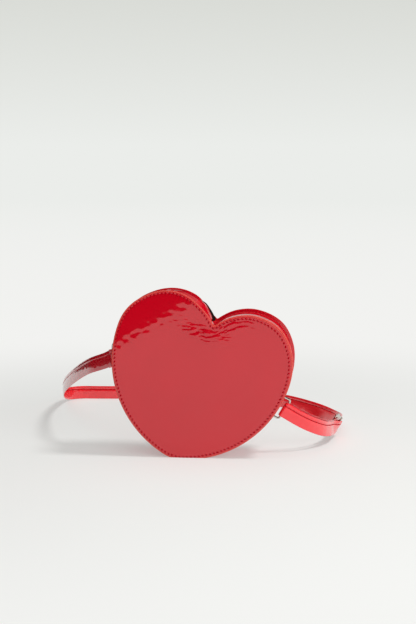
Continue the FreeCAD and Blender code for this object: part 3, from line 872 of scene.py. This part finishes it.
upright = Vector((0, 0, 1))
left_points = [by_left_bar(1.6, -2.3, 2.9), by_left_bar(6.5, -2.3, 4.8), by_left_bar(13.0, -2.3, 7.1)]
left_points += left_route
left_line = smooth_line(left_points)
left_frames = fuller(strap_frames(left_line, upright, upright), 0.06, 0.0)
left_strap = strap_band("left_strap_run", left_frames)
left_seams = strap_seams("left_strap_seams", left_frames)
left_fold_line = smooth_line([
    by_left_bar(12.0, 0.8, 6.6), by_left_bar(9.0, 1.4, 5.6), by_left_bar(5.0, 1.9, 4.3),
    by_left_bar(0.5, 2.3, 2.6), by_left_bar(-2.05, 2.1, 1.0), by_left_bar(-2.05, -2.1, 1.0),
    by_left_bar(0.2, -2.3, 2.2), by_left_bar(1.6, -2.3, 2.9)])
fold_frames = fuller(strap_frames(left_fold_line, upright, upright), 0.06, 0.06)
fold_frames = pressed(fold_frames, ((0.35, 1), (0.5, 0.75), (0.84, 0.75), (1, 1)))
left_fold = strap_band("left_strap_fold", fold_frames, "left_ring")
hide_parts("strap_end_left")
fold_seams = strap_seams("left_fold_seams", fold_frames, "left_ring")

# From behind the bag to the right ring in one length, then round the ring and back to the adjuster's bar
right_points = right_route + [in_ring(right_ring, out, back) for out, back in loop_back_route]
right_line = smooth_line(right_points)
turned_from = len(right_route) / len(right_points)
right_rolls = ((0, 0), (0.27, 0), (0.46, -16), (0.57, 0), (1, 0))
right_frames = strap_frames(right_line, upright, right_ring[2], turned_from, right_rolls)
right_strap = strap_band("right_strap_run", right_frames)
right_seams = strap_seams("right_strap_seams", right_frames)
front_line = smooth_line([in_ring(right_ring, out, back) for out, back in loop_front_route])
front_rolls = ((0, 0), (0.3, 0), (0.52, -34), (0.72, -8), (0.8, 0), (1, 0))
front_frames = strap_frames(front_line, right_ring[2], right_ring[2], rolls=front_rolls)
loop_front = strap_band("loop_front_layer", front_frames)
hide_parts("strap_loop_front", "strap_tail_loop")
front_seams = strap_seams("loop_front_seams", front_frames)
for piece in [loop_front] + front_seams:
    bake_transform(piece)
# The left run starts to follow its ring on the floor behind the bag, so that its far end stays where it is
for piece in [left_strap] + left_seams:
    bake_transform(piece)
for piece in [right_strap] + right_seams:
    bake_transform(piece)
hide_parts("strap_left")
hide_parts("strap_right", "strap_loop_back")

# Tabs: a strip across the gusset that loops over each ring's inner bar
tab_route = [(-0.85, -14.0), (-0.85, -7.0), (-0.85, -2.7), (0.4, -2.3), (2.1, -2.0), (2.1, 2.0), (0.4, 2.3),
             (-0.85, 2.7), (-0.85, 7.0), (-0.85, 14.0)]
tab_cut = rounded([(-8.5, 0.6, 0.4), (8.5, 0.6, 0.4), (8.5, -0.6, 0.4), (-8.5, -0.6, 0.4)], 3)
tab_face = -0.48
tab_rows = (-12.6, -5.0, 5.0, 12.6)
for label, ring in (("left", left_ring), ("right", right_ring)):
    line = smooth_line([in_ring(ring, out, back) for out, back in tab_route])
    tab_frames = strap_frames(line, ring[2], ring[2])
    rings = [[point + up * across + out * rise for across, rise in tab_cut]
             for point, up, out in tab_frames]
    points, faces = skin(rings)
    tab = new_piece(label + "_ring_tab_strip", points, faces, patent)
    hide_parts("ring_tab_" + label)
    rows = [[(in_ring(ring, tab_face, back, up), ring[1]) for up in (-8.0, 0.0, 8.0)] for back in tab_rows]
    tab_seam = stitches(label + "_tab_seams", rows, *tab_stitch, thread)

for node, material in {
    "strap_ring_left": nickel, "strap_ring_right": nickel, "strap_adjuster": nickel, "zip_slider": nickel,
    "zip_pull": nickel, "zip_top_stops": zip_plastic, "zip_bottom_stop": zip_plastic,
    "zip_teeth_front": zip_plastic, "zip_teeth_back": zip_plastic,
}.items():
    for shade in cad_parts[node].material_slots:
        shade.material = material


def make_floor():
    """Pale floor that fades into the backdrop's tone far from the bag; distances in metres."""
    floor_radius = 60
    material, tree, shader, place = new_material(
        "floor, matt painted", Base_Color=paint("ecedeb"), Roughness=0.9, Specular_IOR_Level=0.1)
    far = add_node(tree, "ShaderNodeVectorMath", {0: place}, operation="LENGTH").outputs["Value"]
    fade = ramp(tree, far, 0.15, 1.0, interpolation_type="SMOOTHERSTEP")
    fade = add_node(tree, "ShaderNodeMapRange", {"Value": fade, "To Min": 0.38}).outputs["Result"]
    tone = mixed(tree, ramp(tree, far, 1.0, 7.0), "f2f2f0", "ebedea")
    glow = add_node(tree, "ShaderNodeEmission", {"Color": tone}).outputs["Emission"]
    mix = add_node(tree, "ShaderNodeMixShader", {0: fade, 1: shader.outputs["BSDF"], 2: glow})
    tree.links.new(mix.outputs["Shader"], tree.nodes["Material Output"].inputs["Surface"])
    mesh = bpy.data.meshes.new("floor")
    shape = bmesh.new()
    bmesh.ops.create_circle(shape, cap_ends=True, segments=96, radius=floor_radius)
    shape.to_mesh(mesh)
    shape.free()
    mesh.materials.append(material)
    floor = bpy.data.objects.new("floor", mesh)
    bpy.context.collection.objects.link(floor)


def make_room():
    """Pale backdrop seen by the camera. The room that lights the bag is dark behind the camera, on the left
    and high up, and pale elsewhere, also straight overhead and below the floor's far edge."""
    world = bpy.data.worlds.new("room")
    bpy.context.scene.world = world
    world.use_nodes = True
    tree = world.node_tree
    way = add_node(tree, "ShaderNodeTexCoord").outputs["Generated"]
    axes = add_node(tree, "ShaderNodeSeparateXYZ", {0: way}).outputs
    backdrop = mixed(tree, ramp(tree, axes["Z"], 0.0, 0.1), "ebedea", "dadcd7")
    front = ramp(tree, axes["Y"], -0.1, -0.35)
    left = ramp(tree, axes["X"], -0.6, -0.78)
    high = ramp(tree, axes["Z"], 0.15, 0.4)
    aside = reckon(tree, "MAXIMUM", reckon(tree, "MAXIMUM", front, left), high)
    above_floor = ramp(tree, axes["Z"], 0.0, 0.05)
    below_top = ramp(tree, axes["Z"], 0.85, 0.6)
    dark = reckon(tree, "MULTIPLY", reckon(tree, "MULTIPLY", above_floor, below_top), aside)
    room = mixed(tree, dark, "dedfdc", "0c0a0a")
    seen = add_node(tree, "ShaderNodeLightPath").outputs["Is Camera Ray"]
    colour = add_node(tree, "ShaderNodeMixRGB", {"Fac": seen, "Color1": room, "Color2": backdrop})
    tree.links.new(colour.outputs["Color"], tree.nodes["Background"].inputs["Color"])


def add_softbox(name, place, aim, size, power):
    """An area lamp in metres and watts, hidden from reflections so that the gloss shows the room alone."""
    lamp = bpy.data.lights.new(name, "AREA")
    lamp.shape = "RECTANGLE"
    lamp.size, lamp.size_y = size
    lamp.energy = power
    softbox = bpy.data.objects.new(name, lamp)
    softbox.location = place
    softbox.visible_glossy = False
    softbox.rotation_euler = (Vector(aim) - Vector(place)).to_track_quat("-Z", "Y").to_euler()
    bpy.context.collection.objects.link(softbox)


def add_flag():
    """A black card on the left, out of view, which only reflections show."""
    material = bpy.data.materials.new("card, matt black")
    material.use_nodes = True
    shader = material.node_tree.nodes["Principled BSDF"]
    shader.inputs["Base Color"].default_value = paint("0c0a0a")
    shader.inputs["Roughness"].default_value = 1.0
    mesh = bpy.data.meshes.new("left_flag")
    edge, near, far, top = -0.45, -0.1, 0.6, 0.45
    mesh.from_pydata([(edge, near, 0), (edge, far, 0), (edge, near, top)], [], [(0, 1, 2)])
    mesh.materials.append(material)
    flag = bpy.data.objects.new("left_flag", mesh)
    bpy.context.collection.objects.link(flag)
    flag.visible_camera = flag.visible_diffuse = flag.visible_shadow = False


def add_camera():
    """The photograph's view: 5.3 degrees to the right and 6.8 down, 80.8 mm on a 36 mm long side."""
    to_right, down = math.radians(5.3), math.radians(6.8)
    aim, distance = Vector((9.56, -30.0, 159.74)) * mm, 1.5
    way = Vector((-math.sin(to_right) * math.cos(down), math.cos(to_right) * math.cos(down), -math.sin(down)))
    lens = bpy.data.cameras.new("camera")
    lens.lens = 80.77
    lens.sensor_width = 36
    camera = bpy.data.objects.new("camera", lens)
    camera.location = aim - way * distance
    camera.rotation_euler = way.to_track_quat("-Z", "Y").to_euler()
    bpy.context.collection.objects.link(camera)
    bpy.context.scene.camera = camera


make_floor()
make_room()
add_flag()
add_softbox("right_softbox", place=(1.02, -0.16, 2.0), aim=(0, 0, 0.05), size=(0.4, 0.4), power=23)
add_softbox("front_softbox", place=(0.75, -1.3, 0.62), aim=(0, 0, 0.08), size=(1.6, 1.0), power=14)
add_camera()

bpy.context.view_layer.update()
